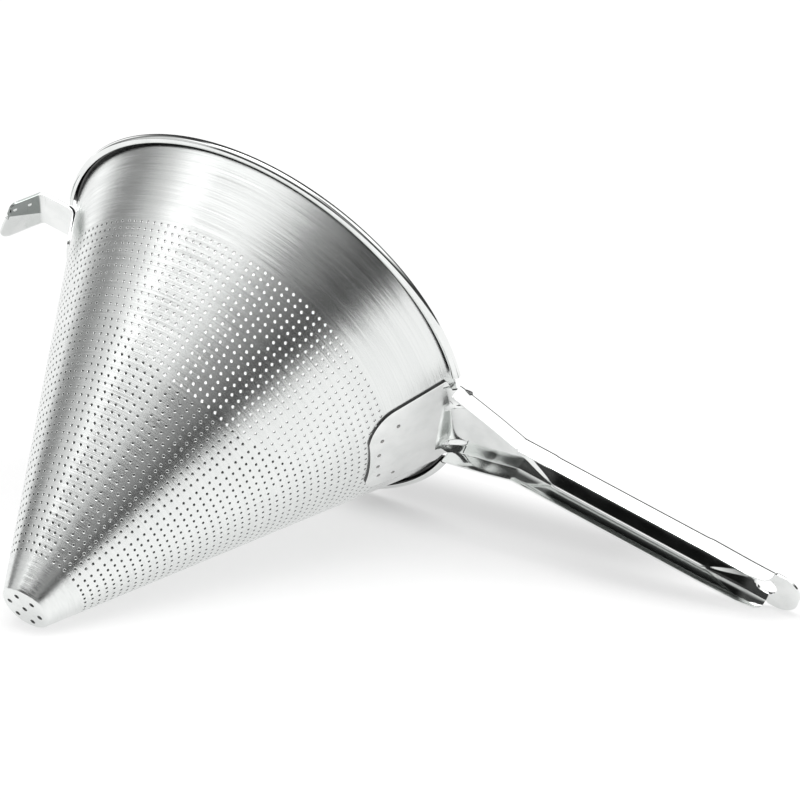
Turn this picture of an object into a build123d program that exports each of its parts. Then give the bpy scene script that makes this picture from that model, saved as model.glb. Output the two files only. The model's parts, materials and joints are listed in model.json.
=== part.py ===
from build123d import *
import math
import os

os.makedirs("parts", exist_ok=True)

# Conical strainer, drawn first in its own axis frame: z runs from the small tip to the mouth,
# the rim bead is centred on z = 0 and the handle leaves along +x. Every piece is then laid down
# on the three points that touch a table: tip edge, rim bead and the far corner of the handle.
# All lengths are millimetres.

# bowl
RIM_DIAMETER = 254.0
BEAD_RADIUS = 2.5
BEAD_SEAT = 0.25
BEAD_SIDES = 12
BEAD_BORE_SIDES = 4
CONE_DEPTH = 220.3
TIP_RADIUS = 13.6
CONE_SHEET = 0.8
WALL_ABOVE_RIM = 0.9

# plain grid of openings that stands for the fine perforation of the wall
SIEVE_COLUMNS = 12
SIEVE_ROWS = 5
SIEVE_OPEN_SHARE = 0.29
SIEVE_TOP_BAND = 44.0
SIEVE_TIP_BAND = 14.0

# tip cap
CAP_SKIRT = 4.0
CAP_EDGE_RADIUS = 2.2
TIP_HOLE_RADIUS = 1.75
TIP_HOLE_RING = 9.1
TIP_HOLE_COUNT = 6
TIP_HOLE_SIDES = 8

# bracket on the wall, under the rim
BRACKET_SHEET = 1.2
BRACKET_HALF = 36.7
BRACKET_FOOT_HALF = 29.8
BRACKET_DROP = 55.4
BRACKET_CORNER = 17.0
BRACKET_BEND = 12.0
BEAD_CLEARANCE = 1.9
GUSSET_HALF_WIDTH = 1.3
GUSSET_SIDE = 17.0
GUSSET_REACH = 7.5

# handle, one folded sheet; lengths follow each other outward from the rim
HANDLE_SHEET = 1.2
HANDLE_UNDERSIDE = 1.1
HANDLE_DROP = 0.9
HANDLE_WALL_DEPTH = 7.4
END_WALL_DEPTH = 5.2
NECK_ROOT_INSET = 1.4
NECK_ROOT_HALF = 30.2
NECK_FLARE_LENGTH = 19.0
NECK_WAIST_HALF = 21.4
NECK_TAPER_LENGTH = 16.5
NECK_CREASE_LENGTH = 19.5
GRIP_LENGTH = 91.0
GRIP_HALF = 14.6
GRIP_CROWN = 3.2
GRIP_SHOULDER_DROP = 0.6
GRIP_CHAMFER = 1.0
END_CREASE_LENGTH = 24.0
END_WALL_LENGTH = 13.0
END_WALL_RADIUS = 4.0
TAB_LENGTH = 16.5
TAB_HALF = 13.8
TAB_CORNER = 11.5
RIDGE_HALF = 1.5
RIDGE_RISE = 0.2
HANG_HOLE_RADIUS = 6.0
HANG_HOLE_INSET = 18.5
ARCH_SHARES = (0.88, 0.54)

# hook opposite the handle
HOOK_SHEET = 1.5
HOOK_HALF = 12.5
HOOK_LEG = 24.0
HOOK_DROP = 3.4
HOOK_ARM_LENGTH = 17.5
HOOK_TAB_LENGTH = 20.0
HOOK_TAB_ANGLE = 62.0
HOOK_ROOT_BEND = 5.0
HOOK_TAB_BEND = 3.0
HOOK_CORNER = 5.0

# spot welds; places are shares of the half width and of the length down the wall
WELD_RADIUS = 2.1
WELD_RISE = 0.35
WELD_SIDES = 12
BRACKET_WELD_SHARES = ((-0.58, 0.66), (-0.43, 0.85), (-0.14, 0.89), (0.14, 0.89), (0.43, 0.85),
                       (0.58, 0.66))
HOOK_WELD_SHARES = ((-0.42, 0.67), (0.42, 0.67))

# steps along each rounded stretch of an outline, and of the search for the resting place
BEND_STEPS = 5
EDGE_STEPS = 2
SETTLE_STEPS = 6

RIM_RADIUS = RIM_DIAMETER / 2
BEAD_CENTRE = RIM_RADIUS - BEAD_RADIUS
BEAD_REACH = BEAD_RADIUS - BEAD_SEAT
FLARE = BEAD_CENTRE - TIP_RADIUS
HALF = math.atan2(FLARE, CONE_DEPTH) - math.asin(BEAD_REACH / math.hypot(FLARE, CONE_DEPTH))
SLOPE = math.tan(HALF)
WALL_AT_RIM = TIP_RADIUS + CONE_DEPTH * SLOPE
BIG = 2 * RIM_DIAMETER

BRACKET_ANGLE = math.degrees(math.asin(BRACKET_HALF / WALL_AT_RIM))
BRACKET_GAP_ANGLE = math.degrees(math.asin((BRACKET_HALF + BEAD_CLEARANCE) / BEAD_CENTRE))
HOOK_GAP_ANGLE = math.degrees(math.asin((HOOK_HALF + BEAD_CLEARANCE) / BEAD_CENTRE))

NECK_START = RIM_RADIUS - NECK_ROOT_INSET
NECK_WAIST = RIM_RADIUS + NECK_FLARE_LENGTH
NECK_END = NECK_WAIST + NECK_TAPER_LENGTH
GRIP_START = NECK_END + NECK_CREASE_LENGTH
GRIP_END = GRIP_START + GRIP_LENGTH
TAB_START = GRIP_END + END_CREASE_LENGTH
WALL_END = TAB_START + END_WALL_LENGTH
HANDLE_TIP = WALL_END + TAB_LENGTH
HANG_HOLE_REACH = HANDLE_TIP - HANG_HOLE_INSET


def arc_points(centre, radius, start, end, steps):
    """Points along an arc in an outline, both ends included, angles in radians."""
    angles = [start + (end - start) * i / steps for i in range(steps + 1)]
    return [(centre[0] + radius * math.cos(a), centre[1] + radius * math.sin(a)) for a in angles]


def wall_point(slant, lift):
    """Point (radius, z) at a slant distance below the rim plane, lifted off the outer wall."""
    r = WALL_AT_RIM - slant * math.sin(HALF) + lift * math.cos(HALF)
    z = -slant * math.cos(HALF) - lift * math.sin(HALF)
    return (r, z)


def turned(points, sweep, middle):
    """Revolve a closed (radius, z) outline by an angle, centred on one azimuth."""
    face = make_face(Plane.XZ * Polyline(*points, close=True))
    return revolve(face, Axis.Z, sweep).rotate(Axis.Z, middle - sweep / 2)


def slab(points, low, high):
    """Upright prism over a closed (x, y) outline between two heights."""
    return extrude(Plane.XY.offset(low) * make_face(Polyline(*points, close=True)), high - low)


def side_prism(points, half_width):
    """Prism over a closed (x, z) outline, equally wide on both sides of y = 0."""
    return extrude(make_face(Plane.XZ * Polyline(*points, close=True)), half_width, both=True)


def fall(x):
    """Small drop of the grip away from the rim plane, counted from the end of the neck."""
    return -HANDLE_DROP * (x - NECK_END) / (HANDLE_TIP - NECK_END)


def sieve_punch(top_slant, bottom_slant):
    """Radial punch for one opening of the grid, between two slant distances at azimuth zero."""
    top = wall_point(top_slant, 0)[1]
    bottom = wall_point(bottom_slant, 0)[1]
    outline = [(0, bottom), (RIM_RADIUS, bottom), (RIM_RADIUS, top), (0, top)]
    return turned(outline, SIEVE_OPEN_SHARE * 360 / SIEVE_COLUMNS, 0)


def build_cone():
    """Conical wall between the tip cap and the rim bead, with a plain grid of openings."""
    slant_end = CONE_DEPTH / math.cos(HALF) - CAP_SKIRT
    top = -WALL_ABOVE_RIM / math.cos(HALF)
    outline = [wall_point(slant_end, 0), wall_point(top, 0), wall_point(top, -CONE_SHEET),
               wall_point(slant_end, -CONE_SHEET)]
    pitch = (slant_end - SIEVE_TOP_BAND - SIEVE_TIP_BAND) / SIEVE_ROWS
    border = (1 - SIEVE_OPEN_SHARE) / 2
    punches = []
    for row in range(SIEVE_ROWS):
        start = SIEVE_TOP_BAND + row * pitch
        punch = sieve_punch(start + border * pitch, start + (1 - border) * pitch)
        for column in range(SIEVE_COLUMNS):
            punches.append(punch.rotate(Axis.Z, (column + 0.5) * 360 / SIEVE_COLUMNS))
    return turned(outline, 360, 0) - punches


def build_cap():
    """Shallow cup closing the tip, with a rounded edge, a short skirt and small drain holes."""
    slant_end = CONE_DEPTH / math.cos(HALF) - CAP_SKIRT
    tangent = CAP_EDGE_RADIUS * math.tan((math.pi / 2 - HALF) / 2)
    centre = (TIP_RADIUS - tangent, CAP_EDGE_RADIUS - CONE_DEPTH)
    edge = (-math.pi / 2, -HALF, EDGE_STEPS)
    outer = [(0, -CONE_DEPTH)] + arc_points(centre, CAP_EDGE_RADIUS, *edge) + [wall_point(slant_end, 0)]
    inner = [(0, CONE_SHEET - CONE_DEPTH)] + arc_points(centre, CAP_EDGE_RADIUS - CONE_SHEET, *edge)
    inner = inner + [wall_point(slant_end, -CONE_SHEET)]
    cup = turned(outer + inner[::-1], 360, 0)
    punch = Pos(0, 0, -CONE_DEPTH) * RegularPolygon(TIP_HOLE_RADIUS, TIP_HOLE_SIDES)
    drill = extrude(punch, 2 * CONE_SHEET, both=True)
    holes = [drill]
    for i in range(TIP_HOLE_COUNT):
        holes.append(drill.moved(Rot(0, 0, i * 360 / TIP_HOLE_COUNT) * Pos(TIP_HOLE_RING, 0, 0)))
    return cup - holes


def build_bead(start, end):
    """Hollow rolled rim between two azimuths, seated flat against the outer wall."""
    bore = RegularPolygon(BEAD_RADIUS - CONE_SHEET, BEAD_BORE_SIDES)
    ring = Plane.XZ * Pos(BEAD_CENTRE, 0) * (RegularPolygon(BEAD_RADIUS, BEAD_SIDES) - bore)
    roll = revolve(ring, Axis.Z, end - start).rotate(Axis.Z, start)
    low = wall_point(2 * BEAD_RADIUS, 0)
    high = wall_point(-2 * BEAD_RADIUS, 0)
    core = turned([(0, low[1]), low, high, (0, high[1])], 360, 0)
    return roll - core


def bend_outline(corner, leg, radius, sheet, arm):
    """Sheet section: up the wall, round one bend and out level, as two (radius, z) paths."""
    centre = (corner[0] + radius * math.tan((math.pi / 2 - HALF) / 2), corner[1] - radius)
    sweep = (math.pi - HALF, math.pi / 2, BEND_STEPS)
    foot = (corner[0] - leg * math.sin(HALF), corner[1] - leg * math.cos(HALF))
    inner = [foot] + arc_points(centre, radius, *sweep)
    outer = [(foot[0] - sheet * math.cos(HALF), foot[1] + sheet * math.sin(HALF))]
    outer = outer + arc_points(centre, radius + sheet, *sweep)
    if arm > inner[-1][0]:
        inner.append((arm, corner[1]))
        outer.append((arm, corner[1] + sheet))
    return inner, outer


def bracket_corner():
    """Where the outer face of the wall plate would meet the underside of the handle web."""
    z = HANDLE_UNDERSIDE
    return (WALL_AT_RIM + z * SLOPE + BRACKET_SHEET / math.cos(HALF), z)


def bracket_reach():
    """Radius at which the bracket bend becomes level and the handle web takes over."""
    return bracket_corner()[0] + BRACKET_BEND * math.tan((math.pi / 2 - HALF) / 2)


def neck_outline(inset):
    """Closed (x, y) outline of the tapering neck, drawn in from its edge."""
    upper = [(NECK_START, NECK_ROOT_HALF - inset), (NECK_WAIST, NECK_WAIST_HALF - inset),
             (NECK_END, GRIP_HALF - inset)]
    lower = [(x, -y) for x, y in reversed(upper)]
    return upper + lower


def build_bracket():
    """Plate wrapped on the wall below the rim, bent outward to carry the handle."""
    corner = bracket_corner()
    leg = BRACKET_DROP + corner[1] / math.cos(HALF)
    inner, outer = bend_outline(corner, leg, BRACKET_BEND, BRACKET_SHEET, 0)
    shell = turned(inner + outer[::-1], 4 * BRACKET_ANGLE, 0)
    bottom = -BRACKET_DROP * math.cos(HALF) - BRACKET_SHEET * math.sin(HALF)
    shoulder = -BEAD_RADIUS - BRACKET_SHEET
    tongue = NECK_ROOT_HALF - HANDLE_SHEET
    top = corner[1] + 2 * BRACKET_SHEET
    half = [(0, bottom), (BRACKET_FOOT_HALF, bottom), (BRACKET_HALF, shoulder), (tongue, shoulder),
            (tongue, top), (0, top)]
    full = half + [(-y, z) for y, z in reversed(half[1:-1])]
    template = extrude(make_face(Plane.YZ * Polyline(*full, close=True)), BIG)
    template = fillet(template.edges().filter_by(Axis.X).group_by(Axis.Z)[0], BRACKET_CORNER)
    neck = slab([(NECK_START, -BIG), (NECK_END, -BIG), (NECK_END, BIG), (NECK_START, BIG)], -BIG, BIG)
    plate = (shell & template) - (neck - slab(neck_outline(HANDLE_SHEET), -BIG, BIG))
    rib = side_prism([(corner[0] - GUSSET_REACH * SLOPE, corner[1] - GUSSET_REACH),
                      (corner[0] + GUSSET_REACH, corner[1]), corner], GUSSET_HALF_WIDTH)
    middle = [((a[0] + b[0]) / 2, (a[1] + b[1]) / 2) for a, b in zip(inner, outer)]
    for side in (-1, 1):
        plate = plate + (rib.moved(Pos(0, side * GUSSET_SIDE, 0)) & shell_zone(middle))
    return plate


def shell_zone(path):
    """Space under a path through the bracket bend that a pressed gusset may fill."""
    corner = bracket_corner()
    ring = path[1:] + [(corner[0] + 2 * BRACKET_BEND, corner[1]),
                        (corner[0] + 2 * BRACKET_BEND, corner[1] - 2 * BRACKET_BEND),
                        (path[1][0], corner[1] - 2 * BRACKET_BEND)]
    return turned(ring, 4 * BRACKET_ANGLE, 0)


def grip_section(x, half, bottom, shoulder, ridge, ridge_z, crown):
    """Closed wire of the folded sheet across the grip at one distance along the handle."""
    def half_path(inset):
        w = half - inset
        r = min(ridge, half) * w / half
        rise = crown - ridge_z
        path = [(w, bottom), (w, shoulder - inset), (r, ridge_z - inset)]
        for share in ARCH_SHARES:
            path.append((r * share, ridge_z - inset + rise * math.sqrt(1 - share * share)))
        path.append((0, crown - inset))
        return path
    outer = half_path(0)
    inner = half_path(HANDLE_SHEET)
    ring = outer + [(-y, z) for y, z in reversed(outer[:-1])]
    ring = ring + [(-y, z) for y, z in inner] + [(y, z) for y, z in reversed(inner[:-1])]
    drop = fall(x)
    return Polyline(*[(x, y, z + drop) for y, z in ring], close=True)


def wall_bottom(x):
    """Height of the lower edge of the side walls at one distance along the handle."""
    share = max(0, x - TAB_START) / END_WALL_LENGTH
    return fall(x) - HANDLE_WALL_DEPTH + share * (HANDLE_WALL_DEPTH - END_WALL_DEPTH)


def build_handle():
    """Neck with side flanges, rounded grip open below, and a flat end tab with a hanging hole."""
    top = HANDLE_UNDERSIDE + HANDLE_SHEET
    low = -HANDLE_WALL_DEPTH
    shoulder = -GRIP_SHOULDER_DROP
    flat = (top, RIDGE_HALF, top, top + RIDGE_RISE)
    arch = (shoulder, GRIP_HALF - GRIP_CHAMFER, shoulder + GRIP_CHAMFER, GRIP_CROWN)
    sections = [grip_section(NECK_END, GRIP_HALF, low, *flat),
                grip_section(GRIP_START, GRIP_HALF, low, *arch),
                grip_section(GRIP_END, GRIP_HALF, low, *arch),
                grip_section(TAB_START, TAB_HALF, low, *flat),
                grip_section(WALL_END, TAB_HALF, -END_WALL_DEPTH, *flat)]
    grip = loft([make_face(wire) for wire in sections], ruled=True)
    ends = grip.edges().filter_by(Axis.Y).group_by(Axis.X)[-1].group_by(Axis.Z)[0]
    grip = fillet(ends, END_WALL_RADIUS)
    neck = slab(neck_outline(0), low, top)
    root = Cylinder(bracket_reach(), BIG)
    inside = slab(neck_outline(HANDLE_SHEET), 2 * low, 2 * top)
    neck = neck - slab(neck_outline(HANDLE_SHEET), 2 * low, HANDLE_UNDERSIDE) - (inside & root)
    tab_low = HANDLE_UNDERSIDE + fall(HANG_HOLE_REACH)
    plan = [(WALL_END, -TAB_HALF), (HANDLE_TIP, -TAB_HALF), (HANDLE_TIP, TAB_HALF), (WALL_END, TAB_HALF)]
    tab = slab(plan, tab_low, tab_low + HANDLE_SHEET)
    tab = fillet(tab.edges().filter_by(Axis.Z).group_by(Axis.X)[-1], TAB_CORNER)
    shell = neck + grip + tab
    return shell - Pos(HANG_HOLE_REACH, 0, 0) * Cylinder(HANG_HOLE_RADIUS, BIG)


def build_hook():
    """Strap welded to the wall opposite the handle: level arm and a sloping tab."""
    corner = (WALL_AT_RIM - HOOK_DROP * SLOPE + HOOK_SHEET / math.cos(HALF), -HOOK_DROP)
    arm = RIM_RADIUS + HOOK_ARM_LENGTH
    inner, outer = bend_outline(corner, HOOK_LEG, HOOK_ROOT_BEND, HOOK_SHEET, arm)
    drop = math.radians(HOOK_TAB_ANGLE)
    centre = (arm, -HOOK_DROP - HOOK_TAB_BEND)
    sweep = (math.pi / 2, math.pi / 2 - drop, EDGE_STEPS)
    inner = inner[:-1] + arc_points(centre, HOOK_TAB_BEND, *sweep)
    outer = outer[:-1] + arc_points(centre, HOOK_TAB_BEND + HOOK_SHEET, *sweep)
    step = (HOOK_TAB_LENGTH * math.cos(drop), -HOOK_TAB_LENGTH * math.sin(drop))
    inner.append((inner[-1][0] + step[0], inner[-1][1] + step[1]))
    outer.append((outer[-1][0] + step[0], outer[-1][1] + step[1]))
    strap = turned(inner + outer[::-1], 4 * HOOK_GAP_ANGLE, 0)
    foot = -HOOK_LEG * math.cos(HALF)
    lip = inner[-1][1]
    split = arm - HOOK_ARM_LENGTH / 2
    leg_zone = rounded_strip(0, split, foot) & strap
    tab_zone = rounded_strip(split, BIG, lip) & strap
    return (leg_zone + tab_zone).rotate(Axis.Z, 180)


def rounded_strip(near, far, low):
    """Upright strip as wide as the hook, with its two lower corners rounded."""
    strip = Pos((near + far) / 2, 0, low + RIM_RADIUS / 2) * Box(far - near, 2 * HOOK_HALF, RIM_RADIUS)
    return fillet(strip.edges().filter_by(Axis.X).group_by(Axis.Z)[0], HOOK_CORNER)


def build_welds(shares, half, length, sheet, middle):
    """Shallow weld marks on the outer face of a sheet lying on the wall."""
    marks = []
    for across, down in shares:
        r, z = wall_point(down * length, sheet)
        base = Plane(origin=(r, 0, z), z_dir=(math.cos(HALF), 0, -math.sin(HALF)))
        button = base.location * extrude(RegularPolygon(WELD_RADIUS, WELD_SIDES), WELD_RISE)
        marks.append(button.rotate(Axis.Z, math.degrees(math.asin(across * half / r)) + middle))
    return Compound(children=marks)


def end_corner(turn, lean):
    """Point of the rounded lower corner of the side wall that lies furthest toward the table."""
    across = math.cos(lean) * math.cos(turn)
    down = math.sin(lean)
    rise = math.atan2(wall_bottom(WALL_END) - wall_bottom(TAB_START), END_WALL_LENGTH)
    x = WALL_END - END_WALL_RADIUS
    z = wall_bottom(x) + END_WALL_RADIUS / math.cos(rise)
    reach = END_WALL_RADIUS / math.hypot(across, down)
    return (x + across * reach, TAB_HALF, z - down * reach)


def resting_plane():
    """Lean and azimuth of the table's normal and its offset, touching bead, tip and handle."""
    span = math.hypot(FLARE, CONE_DEPTH)
    lean = math.atan2(FLARE, CONE_DEPTH) + math.asin(BEAD_RADIUS / span)
    offset = BEAD_CENTRE * math.cos(lean) + BEAD_RADIUS
    turn = math.pi / 2
    for attempt in range(SETTLE_STEPS):
        foot = end_corner(turn, lean)
        need = (offset + foot[2] * math.sin(lean)) / math.cos(lean)
        turn = math.atan2(foot[1], foot[0]) + math.acos(need / math.hypot(foot[0], foot[1]))
    return lean, turn, offset


def resting_location():
    """Placement that lays the axis frame on the table, generatrix along +y, handle towards +x."""
    lean, turn, offset = resting_plane()
    across = Vector(math.sin(turn), -math.cos(turn), 0)
    normal = Vector(math.cos(lean) * math.cos(turn), math.cos(lean) * math.sin(turn), -math.sin(lean))
    table = Plane(origin=normal * offset, x_dir=across, z_dir=-normal)
    return table.location.inverse()


PIECES = {
    "strainer_cone": build_cone(),
    "tip_cap": build_cap(),
    "rim_bead_near": build_bead(BRACKET_GAP_ANGLE, 180 - HOOK_GAP_ANGLE),
    "rim_bead_far": build_bead(180 + HOOK_GAP_ANGLE, 360 - BRACKET_GAP_ANGLE),
    "handle_bracket": build_bracket(),
    "handle_shell": build_handle(),
    "hook_strap": build_hook(),
    "bracket_welds": build_welds(BRACKET_WELD_SHARES, BRACKET_HALF, BRACKET_DROP, BRACKET_SHEET, 0),
    "hook_welds": build_welds(HOOK_WELD_SHARES, HOOK_HALF, HOOK_LEG, HOOK_SHEET, 180),
}

rest = resting_location()
laid = {name: shape.moved(rest) for name, shape in PIECES.items()}
boxes = [shape.bounding_box() for shape in laid.values()]
middle_x = (min(b.min.X for b in boxes) + max(b.max.X for b in boxes)) / 2
middle_y = (min(b.min.Y for b in boxes) + max(b.max.Y for b in boxes)) / 2
centre = Pos(-middle_x, -middle_y, -min(b.min.Z for b in boxes))
for name, shape in laid.items():
    export_step(shape.moved(centre), "parts/" + name + ".step")
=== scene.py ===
import json
import logging
from dataclasses import dataclass, field
from enum import Enum
from math import asin, atan2, cos, degrees, dist, hypot, inf, pi, radians, sin, sqrt, tan
from typing import Iterable, Sequence

import bmesh
import bpy
from mathutils import Euler, Matrix, Vector


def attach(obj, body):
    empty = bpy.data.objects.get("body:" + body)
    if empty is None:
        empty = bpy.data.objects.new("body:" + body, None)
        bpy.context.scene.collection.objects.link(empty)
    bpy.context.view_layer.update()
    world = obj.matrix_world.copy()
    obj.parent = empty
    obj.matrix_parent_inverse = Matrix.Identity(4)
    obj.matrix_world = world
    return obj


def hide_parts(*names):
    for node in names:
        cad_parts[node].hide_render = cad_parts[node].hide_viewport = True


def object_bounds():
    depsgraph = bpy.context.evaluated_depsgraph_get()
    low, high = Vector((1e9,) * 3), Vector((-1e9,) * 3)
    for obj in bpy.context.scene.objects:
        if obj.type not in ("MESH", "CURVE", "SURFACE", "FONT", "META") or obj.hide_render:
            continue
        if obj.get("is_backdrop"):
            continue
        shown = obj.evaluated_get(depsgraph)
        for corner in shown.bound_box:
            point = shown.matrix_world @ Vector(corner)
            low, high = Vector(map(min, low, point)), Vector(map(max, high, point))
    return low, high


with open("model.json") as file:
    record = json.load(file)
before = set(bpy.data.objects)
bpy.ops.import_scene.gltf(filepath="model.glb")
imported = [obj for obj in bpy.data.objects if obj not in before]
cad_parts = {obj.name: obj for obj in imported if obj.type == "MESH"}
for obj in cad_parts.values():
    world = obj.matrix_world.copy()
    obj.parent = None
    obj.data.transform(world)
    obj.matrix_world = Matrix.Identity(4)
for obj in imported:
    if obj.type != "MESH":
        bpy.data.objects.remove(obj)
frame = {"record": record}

# Sizes of the strainer are millimetres along its own axes, and azimuths are degrees round it.
# The finishes' depths, the floor and the camera's place are metres.

Point = tuple[float, float, float]
Spot = tuple[float, float]
MM = 0.001
QUARTER = pi / 2
LOG = logging.getLogger("strainer")


class Slot(Enum):
    """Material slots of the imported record."""

    PERFORATED = "perforated_sheet"
    RIM = "polished_rim"
    SHEET = "polished_sheet"
    WELD = "weld_mark"


def smooth(value: float) -> float:
    """Ease a share between 0 and 1."""
    share = min(1.0, max(0.0, value))
    return share * share * (3 - 2 * share)


def between(x: float, stations: Sequence[Spot]) -> float:
    """Read a value off straight runs between (place, value) stations.

    Args:
        x: place to read.
        stations: places and values, in rising order.

    Returns:
        The value at x, held at the first and last station.
    """
    if x <= stations[0][0]:
        return stations[0][1]
    for (x0, v0), (x1, v1) in zip(stations, stations[1:]):
        if x <= x1:
            return v0 + (v1 - v0) * (x - x0) / (x1 - x0)
    return stations[-1][1]


def spread(start: float, end: float, steps: int) -> list[float]:
    """Even places from start to end, both included."""
    return [start + (end - start) * i / steps for i in range(steps + 1)]


def arc(centre: Spot, radius: float, angles: Iterable[float]) -> list[Spot]:
    """Places on a circle at angles in radians."""
    return [(centre[0] + radius * cos(a), centre[1] + radius * sin(a)) for a in angles]


def circle(centre: Spot, radius: float, sides: int) -> list[Spot]:
    """Even places round a circle."""
    return arc(centre, radius, spread(0.0, 2 * pi, sides)[:-1])


def turned(radius: float, azimuth: float, z: float) -> Point:
    """Point at a radius, an azimuth and a height."""
    return radius * cos(radians(azimuth)), radius * sin(radians(azimuth)), z


def rounding(radius: float, past: float) -> float:
    """How far a rounded corner draws an edge in, at a distance past the corner's start."""
    return radius - sqrt(max(0.0, radius ** 2 - past ** 2)) if past > 0 else 0.0


def reverse(normals: Sequence[Point]) -> list[Point]:
    """Turn normals round."""
    return [(-x, -y, -z) for x, y, z in normals]


# Shader maths


class Term:
    """A shader value that adds its own Math nodes when it is reckoned with."""

    def __init__(self, shader: "Shader", socket: bpy.types.NodeSocket) -> None:
        """Wrap a socket of the shader's tree."""
        self.shader = shader
        self.socket = socket

    def _math(self, operation: str, *values: "Term | float") -> "Term":
        """Add one Math node over the given values."""
        return self.shader.node("ShaderNodeMath", {"operation": operation}, dict(enumerate(values)))

    def __add__(self, other: "Term | float") -> "Term":
        """Sum."""
        return self._math("ADD", self, other)

    __radd__ = __add__

    def __sub__(self, other: "Term | float") -> "Term":
        """Difference."""
        return self._math("SUBTRACT", self, other)

    def __rsub__(self, other: float) -> "Term":
        """Difference with a number first."""
        return self._math("SUBTRACT", other, self)

    def __mul__(self, other: "Term | float") -> "Term":
        """Product."""
        return self._math("MULTIPLY", self, other)

    __rmul__ = __mul__

    def __truediv__(self, other: "Term | float") -> "Term":
        """Quotient."""
        return self._math("DIVIDE", self, other)

    def __rtruediv__(self, other: float) -> "Term":
        """Quotient with a number first."""
        return self._math("DIVIDE", other, self)

    def angle_from(self, other: "Term") -> "Term":
        """Angle of the point (other, self) round zero, in radians."""
        return self._math("ARCTAN2", self, other)

    def root(self) -> "Term":
        """Square root."""
        return self._math("SQRT", self)

    def ease(self, low: float, high: float) -> "Term":
        """Smooth step from 0 at low to 1 at high."""
        sockets = {0: self, 1: low, 2: high, 3: 0.0, 4: 1.0}
        return self.shader.node("ShaderNodeMapRange", {"interpolation_type": "SMOOTHSTEP"}, sockets)

    def window(self, rise: Spot, fall: Spot) -> "Term":
        """Smooth step up over one range and down again over a later one."""
        return self.ease(*rise) - self.ease(*fall)


class Shader:
    """Node tree of one material or of the world, built through one method."""

    def __init__(self, owner: bpy.types.Material | bpy.types.World) -> None:
        """Start from an empty tree.

        Args:
            owner: what the tree belongs to.
        """
        owner.use_nodes = True
        self.tree = owner.node_tree
        self.tree.nodes.clear()

    def node(self, kind: str, settings: dict, sockets: dict, output: int | str = 0) -> Term:
        """Add a node.

        Args:
            kind: Blender's node type.
            settings: attributes of the node, set before its sockets.
            sockets: input name or number to a value or a Term.
            output: output that the Term stands for.

        Returns:
            The wrapped output.
        """
        made = self.tree.nodes.new(kind)
        for name, value in settings.items():
            setattr(made, name, value)
        for key, value in sockets.items():
            if isinstance(value, Term):
                self.tree.links.new(value.socket, made.inputs[key])
            else:
                made.inputs[key].default_value = value
        return Term(self, made.outputs[output] if len(made.outputs) else None)

    def place(self) -> tuple[Term, Term, Term]:
        """Coordinates along the strainer's own axes, in metres.

        Returns:
            The three coordinates.
        """
        lie = Lie().matrix()
        where = self.node("ShaderNodeTexCoord", {}, {}, "Object")
        where = self.vectors("SUBTRACT", where, lie.translation)
        return tuple(self.along(where, axis) for axis in range(3))

    def along(self, vector: Term, axis: int) -> Term:
        """Part of a vector along one of the strainer's own axes."""
        return self.vectors("DOT_PRODUCT", vector, Lie().matrix().col[axis].to_3d(), "Value")

    def vector(self, x: Term | float, y: Term | float, z: Term | float) -> Term:
        """Join three values."""
        return self.node("ShaderNodeCombineXYZ", {}, {0: x, 1: y, 2: z})

    def vectors(self, operation: str, one: Term | Sequence[float], other: Term | Sequence[float],
                output: int | str = 0) -> Term:
        """Reckon with two vectors."""
        sockets = {0: one, 1: other}
        return self.node("ShaderNodeVectorMath", {"operation": operation}, sockets, output)

    def normal(self) -> Term:
        """Normal of the surface."""
        return self.node("ShaderNodeNewGeometry", {}, {}, "Normal")

    def lean(self, x: Term | float, y: Term | float, z: Term | float) -> Term:
        """Surface normal leaned by a small vector given along the strainer's own axes.

        Args:
            x: the vector's part toward the handle.
            y: its part across the handle.
            z: its part toward the mouth.

        Returns:
            The new normal.
        """
        sockets = {"Vector": self.vector(x, y, z), "Rotation": tuple(Lie().matrix().to_euler())}
        push = self.node("ShaderNodeVectorRotate", {"rotation_type": "EULER_XYZ"}, sockets)
        return self.vectors("NORMALIZE", self.vectors("ADD", self.normal(), push), (0.0, 0.0, 0.0))

    def noise(self, where: Term, scale: float, detail: float) -> Term:
        """Plain noise about 0.5."""
        sockets = {"Vector": where, "Scale": scale, "Detail": detail}
        return self.node("ShaderNodeTexNoise", {}, sockets)

    def tint(self, share: Term, low: Term | Point, high: Term | Point) -> Term:
        """Blend two colours."""
        low, high = (end if isinstance(end, Term) else (*end, 1.0) for end in (low, high))
        return self.node("ShaderNodeMix", {"data_type": "RGBA"}, {0: share, 6: low, 7: high}, 2)

    def bump(self, height: Term, depth: float, strength: float, normal: Term | None = None) -> Term:
        """Normal from a height of 0 to 1.

        Args:
            height: the height.
            depth: what a height of 1 stands for, in metres.
            strength: share of the slope that is kept.
            normal: another normal to start from.

        Returns:
            The new normal.
        """
        sockets = {"Height": height, "Distance": depth, "Strength": strength}
        if normal:
            sockets["Normal"] = normal
        return self.node("ShaderNodeBump", {}, sockets)

    def metal(self, colour: Term, roughness: Term, normal: Term) -> None:
        """Close the tree with a metal surface.

        Args:
            colour: its colour.
            roughness: its roughness.
            normal: its normal.
        """
        sockets = {"Base Color": colour, "Roughness": roughness, "Normal": normal, "Metallic": 1.0}
        surface = self.node("ShaderNodeBsdfPrincipled", {}, sockets)
        self.node("ShaderNodeOutputMaterial", {}, {0: surface})


# Finishes


@dataclass(frozen=True)
class Streaks:
    """Noise drawn out round the cone: waves per radian, waves per metre, detail and lane."""

    around: float
    upward: float
    detail: float
    lane: float = 0.0

    def noise(self, shader: Shader, azimuth: Term, z: Term) -> Term:
        """Height of the streaks, from 0 to 1."""
        where = shader.vector(azimuth * self.around, self.lane, z * self.upward)
        return shader.noise(where, 1.0, self.detail)


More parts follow.
